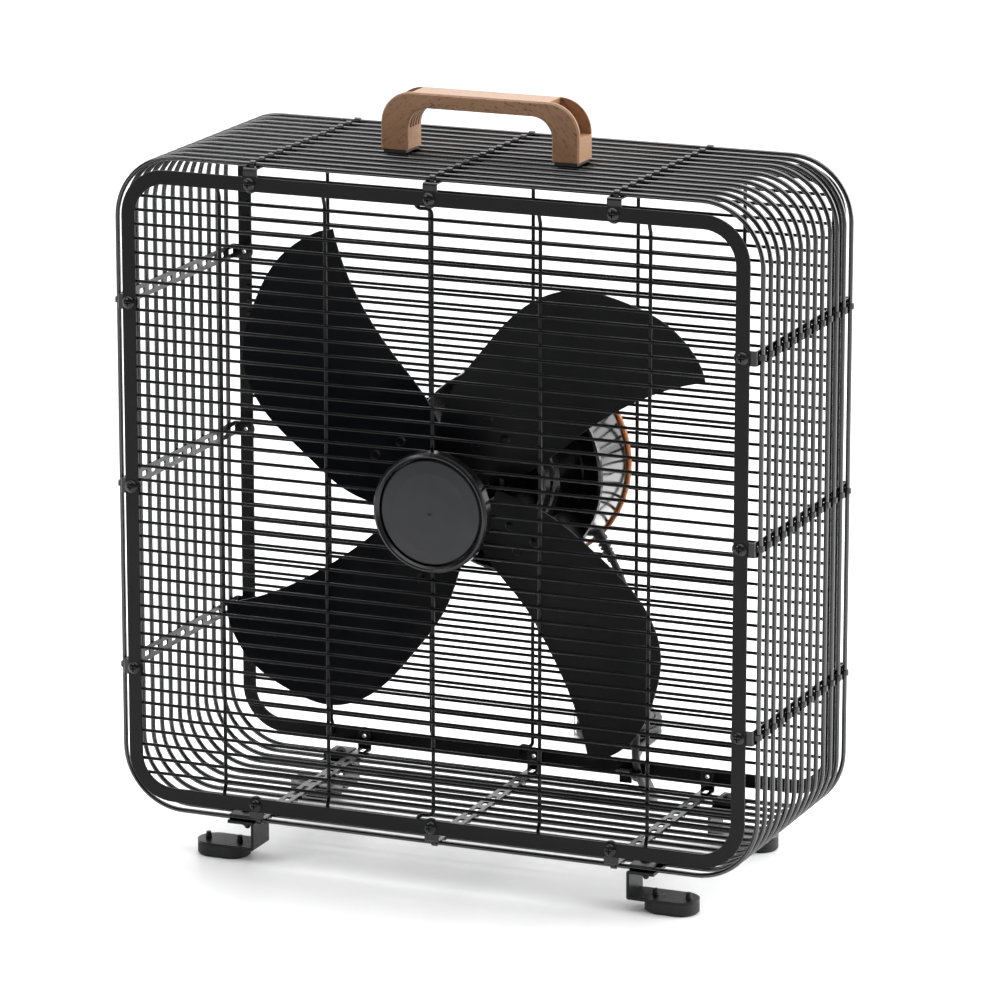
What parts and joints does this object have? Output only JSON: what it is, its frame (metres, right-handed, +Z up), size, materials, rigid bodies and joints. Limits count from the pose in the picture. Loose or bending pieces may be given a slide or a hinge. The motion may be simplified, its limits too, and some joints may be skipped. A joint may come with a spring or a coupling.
{
  "type": "box fan",
  "caption": "Floor-standing box fan: a black wire cage on rubber feet with a wooden carrying handle, a pod motor turning metal blades, a rear speed knob and a tied power cord.",
  "frame": {"origin": "on the floor, under the middle of the fan's own box without its free cord", "axes": "+X to the fan's right as seen from the front, +Y from the front grille to the back, +Z up"},
  "size_m": [0.576, 0.586, 0.6507],
  "materials": {
    "black_frame": "satin powder coat",
    "black_wire": "satin powder coat",
    "black_strip": "satin powder coat",
    "black_screw": "black oxide",
    "clamp_plate": "satin black",
    "handle_wood": "clear satin lacquer",
    "black_plastic": "fine texture",
    "badge_rim": "semi gloss",
    "badge_face": "satin dark grey",
    "foot_bracket": "satin powder coat",
    "foot_rubber": "matt",
    "pod_black": "gloss black",
    "trim_wood": "clear satin lacquer",
    "panel": "satin black",
    "steel": "machined",
    "copper": "enamelled wire",
    "can": "drawn can",
    "clip": "satin black",
    "cord_rubber": "matt flexible sheath",
    "tie": "matt",
    "brass_pin": "bright",
    "blade_black": "satin black paint",
    "spider": "satin black paint",
    "rivet": "blackened"
  },
  "bodies": {
    "cage": {"front_ring": "black_frame", "rear_ring": "black_frame", "front_wires": "black_wire", "rear_wires": "black_wire", "front_uprights": "black_wire", "rear_uprights": "black_wire", "cage_loops": "black_wire", "tie_strips_top": "black_strip", "tie_strips_bottom": "black_strip", "tie_strips_left": "black_strip", "tie_strips_right": "black_strip", "front_screws": "black_screw", "rear_rivets": "black_screw", "rear_cover_screws": "black_screw", "handle_screws": "black_screw", "foot_screws": "black_screw", "motor_bolts": "black_screw", "handle_clamp_plates": "clamp_plate", "foot_clamp_plates": "clamp_plate", "badge_clamp": "clamp_plate", "handle_grip": "handle_wood", "handle_spacers": "black_plastic", "speed_switch": "black_plastic", "strain_relief": "black_plastic", "badge_rim": "badge_rim", "badge_disc": "badge_face", "foot_bracket_front_right": "foot_bracket", "foot_bracket_front_left": "foot_bracket", "foot_bracket_rear_right": "foot_bracket", "foot_bracket_rear_left": "foot_bracket", "foot_pad_front_right": "foot_rubber", "foot_pad_front_left": "foot_rubber", "foot_pad_rear_right": "foot_rubber", "foot_pad_rear_left": "foot_rubber", "pod_shell": "pod_black", "motor_front_bell": "pod_black", "motor_rear_bell": "pod_black", "pod_trim_ring": "trim_wood", "rear_cover": "trim_wood", "pod_back_panel": "panel", "stator_core": "steel", "motor_bearings": "steel", "stator_windings": "copper", "capacitor": "can", "cord_clip": "clip", "power_cord": "cord_rubber", "cord_coil": "cord_rubber", "plug_body": "cord_rubber", "cord_tie": "tie", "plug_pins": "brass_pin"},
    "rotor": {"motor_shaft": "steel", "rotor_core": "steel", "blade_spider": "spider", "blade_rivets": "rivet", "blade_1": "blade_black", "blade_2": "blade_black", "blade_3": "blade_black", "blade_4": "blade_black"},
    "knob": {"speed_knob": "black_plastic", "switch_shaft": "steel"}
  },
  "joints": [
    {"name": "rotor_spin", "type": "hinge", "parent": "cage", "child": "rotor", "pos_m": [0, -0.06565, 0.321], "axis": [0, 1, 0], "continuous": true},
    {"name": "knob_turn", "type": "hinge", "parent": "cage", "child": "knob", "pos_m": [0, 0.11835, 0.29282], "axis": [0, 1, 0], "range_deg": [0, 135]}
  ]
}
